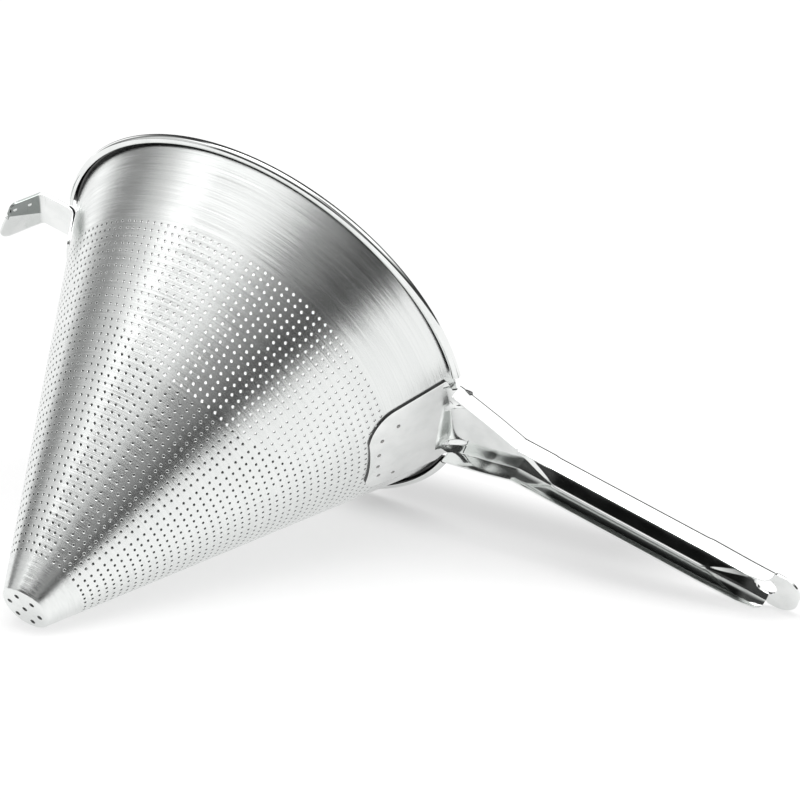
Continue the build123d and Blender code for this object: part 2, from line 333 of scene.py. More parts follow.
@dataclass(frozen=True)
class RoundBrushed:
    """Steel brushed in fine lines that run round the cone."""

    light: Point = (0.82, 0.835, 0.825)
    dark: Point = (0.78, 0.797, 0.787)
    roughness: float = 0.22
    swing: float = 0.06
    lines: Streaks = Streaks(2.2, 1300.0, 3.0)
    bands: Streaks = Streaks(0.9, 160.0, 2.0)
    hairs: Streaks = Streaks(2.0, 21000.0, 0.0, 3.0)
    line_share: float = 0.6
    contrast: Spot = (0.38, 0.62)
    hair_lean: float = 0.38
    depth: float = 0.00001
    relief: float = 0.12

    def make(self) -> bpy.types.Material:
        """Build the material.

        Returns:
            The finished material.
        """
        material = bpy.data.materials.new("steel_brushed_round")
        shader = Shader(material)
        x, y, z = shader.place()
        azimuth = y.angle_from(x)
        radius = (x * x + y * y).root()
        fine = self.lines.noise(shader, azimuth, z)
        broad = self.bands.noise(shader, azimuth, z)
        hair = self.hairs.noise(shader, azimuth, z)
        share = (fine * self.line_share + broad * (1 - self.line_share)).ease(*self.contrast)
        lean = (hair - 0.5) * self.hair_lean
        aside = lean * Cone().slope / radius
        normal = shader.lean(x * aside, y * aside, lean)
        shader.metal(
            shader.tint(share, self.dark, self.light),
            self.roughness - self.swing / 2 + self.swing * (1 - share),
            shader.bump(fine, self.depth, self.relief, normal),
        )
        return material


@dataclass(frozen=True)
class Polished:
    """Bright sheet steel with faint handling marks, and a painted shade where a finish has one."""

    name: str
    colour: Point = (0.86, 0.872, 0.863)
    dull: Point = (0.80, 0.815, 0.805)
    roughness: float = 0.07
    swing: float = 0.06
    grain: float = 90.0
    grain_detail: float = 4.0
    contrast: Spot = (0.35, 0.7)
    ripple: float = 420.0
    ripple_detail: float = 2.0
    ripple_stretch: float = 0.25
    depth: float = 0.00002
    relief: float = 0.3
    painted_shade_colour: Point = (0.0, 0.0, 0.0)

    def painted_shade_share(self, shader: Shader, x: Term, y: Term, z: Term) -> Term | None:
        """Share of the painted shade, none on plain sheet."""
        return None

    def make(self) -> bpy.types.Material:
        """Build the material.

        Returns:
            The finished material.
        """
        material = bpy.data.materials.new(self.name)
        shader = Shader(material)
        x, y, z = shader.place()
        cloud = shader.noise(shader.vector(x, y, z), self.grain, self.grain_detail)
        cloud = cloud.ease(*self.contrast)
        where = shader.vector(x * self.ripple_stretch, y, z)
        ripple = shader.noise(where, self.ripple, self.ripple_detail)
        colour = shader.tint(cloud, self.colour, self.dull)
        # Painted shade: where a finish has one, its share darkens the colour toward the shade
        # colour.
        painted_shade_share = self.painted_shade_share(shader, x / MM, y / MM, z / MM)
        if painted_shade_share:
            colour = shader.tint(painted_shade_share, colour, self.painted_shade_colour)
        shader.metal(colour, self.roughness + self.swing * cloud,
                     shader.bump(ripple, self.depth, self.relief))
        return material


@dataclass(frozen=True)
class StrapTabShade(Polished):
    """Polished strap with a painted shade on its tab, a dark reflection drawn into the colour up to
    a slanting line.
    """

    painted_shade_colour: Point = (0.28, 0.30, 0.29)
    start: float = 143.2
    reach: float = 10.8
    near: float = 4.0
    far: float = -5.0
    line_blur: Spot = (-0.3, 0.3)
    start_blur: Spot = (-0.3, 0.4)

    def painted_shade_share(self, shader: Shader, x: Term, y: Term, z: Term) -> Term:
        """Share of the painted shade on the tab.

        Args:
            shader: tree that the nodes go into.
            x: distance along the handle, in millimetres.
            y: distance across it.
            z: height along the strainer's axis.

        Returns:
            The share, from 0 to 1.
        """
        past = x * -1 - self.start
        line = self.near + past * ((self.far - self.near) / self.reach)
        return (line - y).ease(*self.line_blur) * past.ease(*self.start_blur)


@dataclass(frozen=True)
class GripFoldShade(Polished):
    """Polished sheet with a painted shade inside the grip's fold."""

    painted_shade_colour: Point = (0.045, 0.052, 0.048)
    start: float = 178.0
    end: float = 300.0
    fade: float = 6.0
    fold_half: float = 8.0
    inward: Spot = (0.1, 0.4)
    downward: Spot = (0.2, 0.6)
    web_fade: Spot = (-7.0, 12.0)
    wall_low: Spot = (-6.8, -5.0)
    wall_high: Spot = (-1.8, -1.0)
    wall_change: Spot = (-1.0, 1.0)
    wall_share: float = 0.5
    wall_more: float = 0.4

    def painted_shade_share(self, shader: Shader, x: Term, y: Term, z: Term) -> Term:
        """Share of the painted shade: faces that look into the fold.

        Args:
            shader: tree that the nodes go into.
            x: distance along the handle, in millimetres.
            y: distance across it.
            z: height along the strainer's axis.

        Returns:
            The share, from 0 to 1.
        """
        normal = shader.normal()
        across, up = shader.along(normal, 1), shader.along(normal, 2)
        inward = (across * y / -self.fold_half - up).ease(*self.inward)
        grip = x.window((self.start, self.start + self.fade), (self.end - self.fade, self.end))
        web = (0 - up).ease(*self.downward)
        on_web = 1 - y.ease(*self.web_fade)
        side = y.ease(*self.wall_change) * self.wall_more + self.wall_share
        on_wall = z.window(self.wall_low, self.wall_high) * side
        return inward * grip * (web * on_web + (1 - web) * on_wall)


@dataclass(frozen=True)
class Floor:
    """Matt white sweep under the strainer, lit a little from below, with one shaded patch."""

    colour: Point = (0.45, 0.45, 0.45)
    fleck: float = 0.99
    fleck_scale: float = 3.0
    fleck_detail: float = 2.0
    roughness: float = 0.9
    glow: float = 0.60
    shade: float = 0.42
    shade_across: tuple[Spot, Spot] = ((0.088, 0.145), (0.15, 0.19))
    shade_along: tuple[Spot, Spot] = ((-0.08, -0.03), (0.10, 0.20))
    size: float = 14.0

    def make(self) -> None:
        """Lay the floor."""
        material = bpy.data.materials.new("white_sweep")
        shader = Shader(material)
        where = shader.node("ShaderNodeTexCoord", {}, {}, "Object")
        x, y = (shader.node("ShaderNodeSeparateXYZ", {}, {0: where}, axis) for axis in range(2))
        cloud = shader.noise(shader.vector(x, y, 0.0), self.fleck_scale, self.fleck_detail)
        low = tuple(value * self.fleck for value in self.colour)
        shaded = y.window(*self.shade_across) * x.window(*self.shade_along)
        sockets = {"Base Color": shader.tint(cloud, low, self.colour), "Roughness": self.roughness,
                   "Specular IOR Level": 0.0, "Emission Strength": self.glow,
                   "Emission Color": shader.tint(shaded, (1.0, 1.0, 1.0), (self.shade,) * 3)}
        surface = shader.node("ShaderNodeBsdfPrincipled", {}, sockets)
        shader.node("ShaderNodeOutputMaterial", {}, {0: surface})
        half = self.size / 2
        mesh = bpy.data.meshes.new("floor")
        ends = [(-half, -half, 0), (half, -half, 0), (half, half, 0), (-half, half, 0)]
        mesh.from_pydata(ends, [], [(0, 1, 2, 3)])
        mesh.materials.append(material)
        floor = bpy.data.objects.new("floor", mesh)
        bpy.context.scene.collection.objects.link(floor)
        floor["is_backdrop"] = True


# Placement and meshes


@dataclass(frozen=True)
class Lie:
    """How the strainer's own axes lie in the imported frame.

    The own axes have z from the tip to the mouth, zero at the rim, and x toward the handle.
    """

    hook_reach: float = 138.0
    hook_drop: float = 3.4

    def matrix(self) -> Matrix:
        """Place of the own axes, worked out from the two packed mounts.

        Returns:
            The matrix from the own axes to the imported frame.
        """
        mounts = {mount["name"]: mount for mount in frame["record"]["mounts"]}
        hole = Vector(mounts["hanging_hole"]["pos_m"])
        seat = Vector(mounts["hook_seat"]["pos_m"])
        axis = Vector(mounts["hanging_hole"]["axis"]).normalized()
        span = hole - seat
        along = (span - axis * span.dot(axis)).normalized()
        across = axis.cross(along)
        origin = seat + along * self.hook_reach * MM + axis * self.hook_drop * MM
        return Matrix.Translation(origin) @ Matrix((along, across, axis)).transposed().to_4x4()


class Draft:
    """Points and faces of one piece, in millimetres along the strainer's own axes."""

    def __init__(self) -> None:
        """Start empty."""
        self.points: list[Point] = []
        self.faces: list[tuple[int, ...]] = []

    def add(self, points: Iterable[Point]) -> list[int]:
        """Add points.

        Args:
            points: where they are.

        Returns:
            Their numbers.
        """
        first = len(self.points)
        self.points.extend(points)
        return list(range(first, len(self.points)))

    def bridge(self, low: Sequence[int], high: Sequence[int], closed: bool = False) -> None:
        """Join two equal rows of points with quads.

        Args:
            low: numbers of one row.
            high: numbers of the other.
            closed: whether the last point joins the first.
        """
        for i in range(len(low) if closed else len(low) - 1):
            j = (i + 1) % len(low)
            self.faces.append((low[i], low[j], high[j], high[i]))

    def grid(self, rows: Sequence[Sequence[Point]], closed: bool = False) -> list[list[int]]:
        """Add rows of points joined one to the next.

        Args:
            rows: the points.
            closed: whether each row runs round.

        Returns:
            The points' numbers, row by row.
        """
        numbers = [self.add(row) for row in rows]
        for low, high in zip(numbers, numbers[1:]):
            self.bridge(low, high, closed)
        return numbers

    def tube(self, rows: Sequence[Sequence[Point]]) -> None:
        """Add rows that run round, joined one to the next, and shut both ends."""
        numbers = self.grid(rows, True)
        self.faces.extend((tuple(reversed(numbers[0])), tuple(numbers[-1])))

    def lathe(self, outline: Sequence[Spot], sides: int) -> None:
        """Turn an outline round the axis.

        Args:
            outline: closed run of (radius, z) places.
            sides: steps of the turn.
        """
        rows = [self.add(turned(r, a, z) for r, z in outline) for a in spread(0, 360, sides)[:-1]]
        for low, high in zip(rows, rows[1:] + rows[:1]):
            self.bridge(low, high, True)

    def build(self, name: str, material: bpy.types.Material, place: Matrix) -> bpy.types.Object:
        """Make the object.

        Args:
            name: the piece's name.
            material: its finish.
            place: where the own axes lie.

        Returns:
            The linked object.
        """
        mesh = bpy.data.meshes.new(name)
        mesh.from_pydata([(x * MM, y * MM, z * MM) for x, y, z in self.points], [], self.faces)
        mesh.materials.append(material)
        piece = bpy.data.objects.new(name, mesh)
        bpy.context.scene.collection.objects.link(piece)
        piece.matrix_world = place
        return piece


@dataclass
class Workshop:
    """Turns drafts into finished pieces that ride on the strainer."""

    place: Matrix
    made: list[str] = field(default_factory=list)
    merge: float = 0.01
    smooth_angle: float = 40.0
    mark_angle: float = 60.0
    bevel_angle: float = 38.0

    def piece(self, draft: Draft, name: str, material: bpy.types.Material, slot: Slot,
              node: str) -> bpy.types.Object:
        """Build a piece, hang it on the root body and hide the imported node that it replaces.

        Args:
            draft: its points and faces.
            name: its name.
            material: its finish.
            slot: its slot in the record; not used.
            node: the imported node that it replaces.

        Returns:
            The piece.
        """
        made = draft.build(name, material, self.place)
        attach(made, "root")
        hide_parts(node)
        self.made.append(name)
        LOG.info("piece %s: %d points, stands for %s", name, len(draft.points), node)
        return made

    def sheet(self, draft: Draft, name: str, finish: Polished, node: str, thickness: float,
              way: Point, cut: Polished | None = None, even: bool = True) -> bpy.types.Object:
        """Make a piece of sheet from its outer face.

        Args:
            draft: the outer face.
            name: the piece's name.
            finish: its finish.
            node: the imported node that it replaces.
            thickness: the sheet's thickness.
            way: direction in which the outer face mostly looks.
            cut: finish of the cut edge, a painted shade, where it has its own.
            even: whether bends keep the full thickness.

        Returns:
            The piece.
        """
        piece = self.piece(draft, name, finish.make(), Slot.SHEET, node)
        self.tidy(piece)
        if sum(face.normal.dot(way) * face.area for face in piece.data.polygons) < 0:
            piece.data.flip_normals()
        if cut:
            piece.data.materials.append(cut.make())
        self.apply(piece, "SOLIDIFY", thickness=thickness * MM, offset=-1.0, use_even_offset=even,
                   material_offset_rim=1 if cut else 0)
        return piece

    def marks(self, draft: Draft, name: str, finish: Polished, node: str) -> None:
        """Make a piece of weld marks.

        Args:
            draft: the marks.
            name: the piece's name.
            finish: their finish.
            node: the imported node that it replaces.
        """
        piece = self.piece(draft, name, finish.make(), Slot.WELD, node)
        self.tidy(piece)
        self.shade(piece, self.mark_angle)

    def settle(self) -> None:
        """Carry each piece's place into its mesh, so that the object lies at the origin."""
        for name in self.made:
            piece = bpy.data.objects[name]
            piece.data.transform(piece.matrix_world)
            piece.matrix_world = Matrix.Identity(4)

    def tidy(self, piece: bpy.types.Object) -> None:
        """Merge doubled points and turn all faces to one side.

        Args:
            piece: the piece to change.
        """
        mesh = bmesh.new()
        mesh.from_mesh(piece.data)
        bmesh.ops.remove_doubles(mesh, verts=mesh.verts, dist=self.merge * MM)
        bmesh.ops.recalc_face_normals(mesh, faces=mesh.faces)
        mesh.to_mesh(piece.data)
        mesh.free()

    @staticmethod
    def apply(piece: bpy.types.Object, kind: str, **settings: object) -> None:
        """Add a modifier and apply it at once.

        Args:
            piece: the piece to change.
            kind: Blender's modifier type.
            settings: the modifier's own settings.
        """
        modifier = piece.modifiers.new(kind.lower(), kind)
        for name, value in settings.items():
            setattr(modifier, name, value)
        bpy.context.view_layer.update()
        graph = bpy.context.evaluated_depsgraph_get()
        mesh = bpy.data.meshes.new_from_object(piece.evaluated_get(graph))
        piece.modifiers.clear()
        old = piece.data
        piece.data = mesh
        bpy.data.meshes.remove(old)

    def soften(self, piece: bpy.types.Object, radius: float, angle: float | None = None,
               segments: int = 2) -> None:
        """Round the sharp edges and shade the rest smooth.

        Args:
            piece: the piece to change.
            radius: how far the rounding reaches.
            angle: smallest bend that is rounded, in degrees.
            segments: faces across the rounding.
        """
        self.apply(piece, "BEVEL", width=radius * MM, segments=segments, limit_method="ANGLE",
                   angle_limit=radians(angle or self.bevel_angle), harden_normals=False,
                   use_clamp_overlap=True)
        self.shade(piece, self.smooth_angle)

    @staticmethod
    def shade(piece: bpy.types.Object, angle: float) -> None:
        """Shade smooth up to an angle."""
        piece.data.shade_smooth()
        piece.data.set_sharp_from_angle(angle=radians(angle))

    def drill(self, piece: bpy.types.Object, spots: Sequence[Spot], radius: float, z: float,
              sides: int, reach: float) -> None:
        """Cut round holes along the strainer's axis.

        Args:
            piece: the piece to change.
            spots: middles of the holes.
            radius: their radius.
            z: height of the sheet that is cut.
            sides: sides of each hole.
            reach: how far the cut goes above and below z.
        """
        draft = Draft()
        for spot in spots:
            ring = circle(spot, radius, sides)
            draft.tube([[(x, y, level) for x, y in ring] for level in (z - reach, z + reach)])
        cutter = draft.build("cutter", piece.data.materials[0], self.place)
        self.apply(piece, "BOOLEAN", operation="DIFFERENCE", solver="EXACT", object=cutter)
        bpy.data.objects.remove(cutter)


# The strainer's sub-assemblies


@dataclass
class Cone:
    """Perforated conical wall."""

    rim_radius: float = 127.0
    bead_radius: float = 2.5
    bead_seat: float = 0.25
    depth: float = 220.3
    tip_radius: float = 13.6
    sheet: float = 0.8
    above_rim: float = 0.9
    skirt: float = 4.0
    first_row: float = 44.2
    row_pitch: float = 4.175
    rows_per_count: tuple[int, ...] = (2, 3, 3, 3, 3, 4, 4, 4, 3, 4, 4, 4, 3)
    most_in_sector: int = 17
    sectors: int = 8
    sector_angle: float = 43.45
    middle_sector: int = 2
    sector_middle: float = -61.5
    sector_gap: float = 1.2
    missing: tuple[tuple[int, int], ...] = ((7, 6), (16, 7))
    hole_radius: float = 0.68
    hole_sides: int = 12
    lip_radius: float = 1.0
    lip_drop: float = 0.10
    lip_lean: float = 0.75
    join_strip: float = 0.25
    band_step: float = 6.0

    def __post_init__(self) -> None:
        """Work out the wall's slope and the radii that follow from it."""
        self.bead_centre = self.rim_radius - self.bead_radius
        flare = self.bead_centre - self.tip_radius
        reach = self.bead_radius - self.bead_seat
        self.half = atan2(flare, self.depth) - asin(reach / hypot(flare, self.depth))
        self.sin, self.cos, self.slope = sin(self.half), cos(self.half), tan(self.half)
        self.at_rim = self.tip_radius + self.depth * self.slope
        self.foot = self.depth / self.cos - self.skirt

    def spot(self, slant: float, lift: float = 0.0) -> Spot:
        """Radius and height at a slant distance below the rim plane, lifted off the wall."""
        r = self.at_rim - slant * self.sin + lift * self.cos
        return r, -slant * self.cos - lift * self.sin

    def point(self, azimuth: float, slant: float, lift: float = 0.0) -> Point:
        """Point on the wall."""
        r, z = self.spot(slant, lift)
        return turned(r, azimuth, z)

    def over(self, level: float, sheet: float) -> float:
        """Radius at a height of the outer face of a sheet that lies on the wall."""
        return self.at_rim + level * self.slope + sheet / self.cos

    def down(self, corner: Spot, leg: float) -> Spot:
        """Radius and height at a distance down the slant from another place."""
        return corner[0] - leg * self.sin, corner[1] - leg * self.cos

    def tangent(self, bend: float) -> float:
        """Length that a bend from the wall to the level takes off each side."""
        return bend * tan((QUARTER - self.half) / 2)

    def outward(self, azimuth: float) -> Point:
        """Normal of the outer face."""
        return turned(self.cos, azimuth, -self.sin)

    def axes(self, azimuth: float) -> tuple[Vector, Vector, Vector]:
        """Directions on the wall: outward, round it and up the slant."""
        out, east = Vector(self.outward(azimuth)), Vector(turned(1.0, azimuth + 90, 0.0))
        return out, east, out.cross(east)

    def cells(self, row: int, count: int) -> list[tuple[float, float, bool]]:
        """Cells of one row as (start, end, holed), in degrees.

        Args:
            row: the row's number from the top.
            count: holes in one sector of the row.

        Returns:
            The cells in rising azimuth, with plain ones at the seam and between sectors.
        """
        gap = degrees(self.sector_gap / self.spot(self.first_row + row * self.row_pitch)[0])
        pitch = (self.sector_angle - gap) / count
        first = self.sector_middle - self.middle_sector * self.sector_angle
        made = []
        for sector in range(self.sectors):
            start = first + (sector - 0.5) * self.sector_angle + gap / 2
            for i in range(count):
                holed = (row, i) not in self.missing
                made.append((start + i * pitch, start + (i + 1) * pitch, holed))
            made.append((start + count * pitch, start + count * pitch + gap, False))
        seam_start, seam_end = made.pop()[0], made[0][0] + 360
        edges = spread(seam_start, seam_end, max(2, round((seam_end - seam_start) / pitch)))
        made.extend((a, b, False) for a, b in zip(edges, edges[1:]))
        return made

    def build(self, shop: Workshop, finish: RoundBrushed, cut: Polished) -> None:
        """Make the perforated wall.

        Args:
            shop: where the piece is made.
            finish: finish of the wall.
            cut: finish of the holes' walls, a painted shade in the holes.
        """
        draft = PerforatedDraft(self)
        draft.run()
        piece = shop.piece(draft, "perforated_cone_wall", finish.make(), Slot.PERFORATED,
                           "strainer_cone")
        piece.data.materials.append(cut.make())
        piece.data.shade_smooth()
        # The holes' walls take the dark finish, a painted shade in the holes.
        for number in draft.cut:
            piece.data.polygons[number].material_index = 1
        piece.data.normals_split_custom_set([n for face in draft.normals for n in face])


class PerforatedDraft(Draft):
    """Mesh of the wall: a ring of cells per row, each with a round hole and its pressed lip."""

    def __init__(self, cone: Cone) -> None:
        """Start the draft.

        Args:
            cone: the cone that is drafted.
        """
        super().__init__()
        self.cone = cone
        self.steps = cone.hole_sides // 4
        self.normals: list[Sequence[Point]] = []
        self.known: dict[Point, int] = {}
        # Faces of the holes' walls, which take the painted shade.
        self.cut: list[int] = []

    def corner(self, azimuth: float, slant: float, lift: float) -> int:
        """Number of a wall point, shared when it was made before.

        Args:
            azimuth: where it is round the wall.
            slant: how far it is below the rim plane.
            lift: how far it is off the outer face.

        Returns:
            The point's number.
        """
        key = (round(azimuth % 360, 4), round(slant, 4), lift)
        if key not in self.known:
            self.known[key] = self.add([self.cone.point(azimuth, slant, lift)])[0]
        return self.known[key]

    def face(self, corners: Sequence[int], normals: Sequence[Point], inner: bool) -> None:
        """Add one face with a normal for each corner.

        Args:
            corners: numbers of the face's points.
            normals: a normal for each of them.
            inner: whether the face belongs to the inner side and is turned round.
        """
        step = -1 if inner else 1
        self.faces.append(tuple(corners[::step]))
        self.normals.append(normals[::step])

    def flat(self, places: Sequence[Spot]) -> None:
        """Add both faces of plain wall.

        Args:
            places: corners as (azimuth, slant).
        """
        out = [self.cone.outward(a) for a, _ in places]
        for lift, normals in ((0.0, out), (-self.cone.sheet, reverse(out))):
            self.face([self.corner(a, s, lift) for a, s in places], normals, lift < 0)

    def border(self, start: float, end: float, top: float, bottom: float) -> list[Spot]:
        """Places round a cell, as many as the hole has sides.

        Args:
            start: azimuth at which the cell starts.
            end: azimuth at which it ends.
            top: slant of its upper edge.
            bottom: slant of its lower edge.

        Returns:
            The places from the lower end corner upward.
        """
        shares = spread(0.0, 1.0, self.steps)[:-1]
        ends = ((end, bottom), (end, top), (start, top), (start, bottom))
        made = []
        for (a0, s0), (a1, s1) in zip(ends, ends[1:] + ends[:1]):
            made.extend((a0 + (a1 - a0) * t, s0 + (s1 - s0) * t) for t in shares)
        return made

    def hole(self, border: Sequence[Spot]) -> None:
        """Add a cell with its hole through the sheet.

        Args:
            border: places round the cell.
        """
        cone = self.cone
        count = len(border)
        middle = (border[0][0] + border[count // 2][0]) / 2
        slant = (border[0][1] + border[count // 2][1]) / 2
        r = cone.spot(slant)[0]
        turns = [atan2(slant - s, radians(a - middle) * r) for a, s in border]
        out, east, north = cone.axes(middle)

        def ring(radius: float, lift: float) -> list[int]:
            """Points round the hole, bent with the wall."""
            return self.add(cone.point(middle + degrees(radius * cos(t) / r),
                                       slant - radius * sin(t), lift) for t in turns)

        aside = [(east * cos(t) + north * sin(t)).normalized() for t in turns]
        lip_out = [cone.outward(middle + degrees(cone.lip_radius * cos(t) / r)) for t in turns]
        edge_out = [tuple((out - v * cone.lip_lean).normalized()) for v in aside]
        hole_out = [tuple(-v) for v in aside]
        cell_out = [cone.outward(a) for a, _ in border]
        outer, inner = ([self.corner(a, s, lift) for a, s in border] for lift in (0.0, -cone.sheet))
        lip = ring(cone.lip_radius, 0.0)
        edge = ring(cone.hole_radius, -cone.lip_drop)
        back = ring(cone.hole_radius, -cone.sheet)
        bands = ((outer, cell_out, lip, lip_out), (lip, lip_out, edge, edge_out),
                 (edge, hole_out, back, hole_out),
                 (back, reverse(lip_out), inner, reverse(cell_out)))
        for near, near_out, far, far_out in bands:
            # The hole's wall faces take the painted shade.
            if near is edge:
                self.cut.extend(range(len(self.faces), len(self.faces) + count))
            for i in range(count):
                j = (i + 1) % count
                self.face((near[i], near[j], far[j], far[i]),
                          (near_out[i], near_out[j], far_out[j], far_out[i]), False)

    def stitch(self, upper: Sequence[float], top: float, lower: Sequence[float],
               bottom: float) -> None:
        """Join two closed rows with different points by a strip of triangles.

        Args:
            upper: azimuths of the upper row.
            top: its slant.
            lower: azimuths of the lower row.
            bottom: its slant.
        """
        i = j = 0
        while i < len(upper) - 1 or j < len(lower) - 1:
            ahead = upper[i + 1] if i < len(upper) - 1 else inf
            below = lower[j + 1] if j < len(lower) - 1 else inf
            places = [(upper[i], top), (lower[j], bottom)]
            if ahead <= below:
                self.flat(places + [(ahead, top)])
                i += 1
            else:
                self.flat(places + [(below, bottom)])
                j += 1

    def edge_places(self, cells: Sequence[tuple[float, float, bool]]) -> list[float]:
        """Azimuths of the border points along one edge of a row of cells."""
        made = [a for start, end, _ in cells for a in spread(start, end, self.steps)[:-1]]
        return made + [cells[-1][1]]

    def run(self) -> None:
        """Lay all rows, the plain bands above and below, and the two ends."""
        cone = self.cone
        row = 0
        last: list[float] = []
        level = 0.0
        for step, rows in enumerate(cone.rows_per_count):
            count = cone.most_in_sector - step
            places = cone.cells(row, count)
            for i in range(rows):
                slant = cone.first_row + row * cone.row_pitch
                top, bottom = slant - cone.row_pitch / 2, slant + cone.row_pitch / 2
                if i == 0:
                    top += cone.join_strip
                    upper = self.edge_places(places)
                    if last:
                        self.stitch(last, level, upper, top)
                    else:
                        self.band(upper, top, -cone.above_rim / cone.cos)
                for (start, end, _), (_, _, holed) in zip(places, cone.cells(row, count)):
                    border = self.border(start, end, top, bottom)
                    (self.hole if holed else self.flat)(border)
                last, level = self.edge_places(places), bottom
                row += 1
        self.band(last, level, cone.foot)

    def band(self, azimuths: Sequence[float], near: float, far: float) -> None:
        """Lay a plain band from a row's edge to an end of the wall, and close that end.

        Args:
            azimuths: places of the row's points.
            near: slant of the row's edge.
            far: slant of the wall's end.
        """
        slants = spread(near, far, max(2, round(abs(far - near) / self.cone.band_step)))
        pairs = list(zip(azimuths, azimuths[1:]))
        way = 1 if far > near else -1
        for s0, s1 in zip(slants, slants[1:]):
            for a0, a1 in pairs:
                self.flat([(a0, s0), (a0, s1), (a1, s1), (a1, s0)][::way])
        for a0, a1 in pairs:
            ends = ((a0, 0.0), (a0, -self.cone.sheet), (a1, -self.cone.sheet), (a1, 0.0))
            corners = [self.corner(a, far, lift) for a, lift in ends]
            self.face(corners, [(0.0, 0.0, -way)] * 4, way < 0)


@dataclass
class Fitted:
    """Sub-assembly that is made in a workshop and fitted on the cone."""

    shop: Workshop
    cone: Cone


@dataclass
class TipCap(Fitted):
    """Cup that closes the tip, with seven drain holes."""

    edge_radius: float = 2.2
    edge_steps: int = 6
    sides: int = 144
    middle_radius: float = 0.02
    hole_radius: float = 1.45
    hole_ring: float = 9.1
    hole_count: int = 6
    hole_sides: int = 36
    hole_reach: float = 3.0
    softness: float = 0.12
    soft_angle: float = 50.0

    def build(self, finish: RoundBrushed) -> None:
        """Make the cup.

        Args:
            finish: its finish.
        """
        cone = self.cone
        middle = (cone.tip_radius - cone.tangent(self.edge_radius), self.edge_radius - cone.depth)
        angles = spread(-QUARTER, -cone.half, self.edge_steps)
        outline = []
        for inset in (0.0, cone.sheet):
            face = [(self.middle_radius, inset - cone.depth)]
            face += arc(middle, self.edge_radius - inset, angles) + [cone.spot(cone.foot, -inset)]
            outline += face[::-1] if inset else face
        draft = Draft()
        draft.lathe(outline, self.sides)
        piece = self.shop.piece(draft, "tip_cap_cup", finish.make(), Slot.PERFORATED, "tip_cap")
        self.shop.tidy(piece)
        middle = (0.0, 0.0)
        spots = [middle] + circle(middle, self.hole_ring, self.hole_count)
        self.shop.drill(piece, spots, self.hole_radius, -cone.depth, self.hole_sides,
                        self.hole_reach)
        self.shop.soften(piece, self.softness, self.soft_angle, 1)


@dataclass
class RimBead(Fitted):
    """Hollow rolled rim, interrupted at the bracket and at the hook."""

    clearance: float = 1.9
    curl_start: float = 250.0
    curl_end: float = 532.0
    sides: int = 30
    step: float = 1.0
    inside_from: float = 1 / 3

    def build(self, bracket_half: float, hook_half: float,
              finish: Polished, inside_shade: Polished) -> None:
        """Make both halves of the bead.

        Args:
            bracket_half: half width of the bracket.
            hook_half: half width of the hook.
            finish: finish of the bead's outside.
            inside_shade: finish of its inside, a painted shade in the hollow of the curl.
        """
        gap, hook = (degrees(asin((half + self.clearance) / self.cone.bead_centre))
                     for half in (bracket_half, hook_half))
        material, dark = finish.make(), inside_shade.make()
        deepest = self.cone.bead_radius - self.cone.sheet * self.inside_from
        for side, start, end in (("near", gap, 180 - hook), ("far", 180 + hook, 360 - gap)):
            draft = Draft()
            azimuths = spread(start, end, round((end - start) / self.step))
            draft.tube([self.curl(azimuth) for azimuth in azimuths])
            node = f"rim_bead_{side}"
            piece = self.shop.piece(draft, f"{node}_roll", material, Slot.RIM, node)
            piece.data.materials.append(dark)
            # Faces deep in the curl take the dark finish: painted shade in the hollow under the
            # bead.
            for face in piece.data.polygons:
                r = hypot(face.center.x, face.center.y) / MM - self.cone.bead_centre
                if hypot(r, face.center.z / MM) < deepest:
                    face.material_index = 1
            self.shop.tidy(piece)
            self.shop.shade(piece, self.shop.smooth_angle)

    def curl(self, azimuth: float) -> list[Point]:
        """Open curl of the sheet across the bead, its free edge just off the wall.

        Args:
            azimuth: where the bead is cut.

        Returns:
            The points round the cut.
        """
        turns = [radians(t) for t in spread(self.curl_start, self.curl_end, self.sides)]
        centre = (self.cone.bead_centre, 0.0)
        outline = arc(centre, self.cone.bead_radius, turns)
        outline += arc(centre, self.cone.bead_radius - self.cone.sheet, turns[::-1])
        return [turned(r, azimuth, z) for r, z in outline]


@dataclass(frozen=True)
class WeldMark:
    """Round spot weld: a low ring about a small dimple, as (share of the radius, lift)."""

    radius: float = 1.25
    profile: tuple[Spot, ...] = ((1.0, -0.12), (0.93, 0.06), (0.74, 0.24), (0.52, 0.22),
                                 (0.34, 0.08), (0.16, 0.02))
    sides: int = 24

    def on_wall(self, draft: Draft, cone: Cone, spot: Spot, sheet: float, turn: float) -> None:
        """Add a mark on a sheet that lies on the wall.

        Args:
            draft: draft that takes the mark.
            cone: the wall.
            spot: the mark's place across the sheet and down the slant.
            sheet: the sheet's thickness.
            turn: azimuth of the sheet's middle.
        """
        r, z = cone.spot(spot[1], sheet)
        azimuth = degrees(asin(spot[0] / r)) + turn
        self.on_face(draft, turned(r, azimuth, z), *cone.axes(azimuth))

    def on_face(self, draft: Draft, base: Point, out: Vector, east: Vector, north: Vector) -> None:
        """Add a mark on a face.

        Args:
            draft: draft that takes the mark.
            base: the mark's middle.
            out: direction in which the face looks.
            east: one direction along the face.
            north: the other.
        """
        rows = []
        for share, lift in self.profile:
            ring = circle((0.0, 0.0), share * self.radius, self.sides)
            rows.append([tuple(Vector(base) + east * a + north * b + out * lift) for a, b in ring])
        draft.tube(rows)


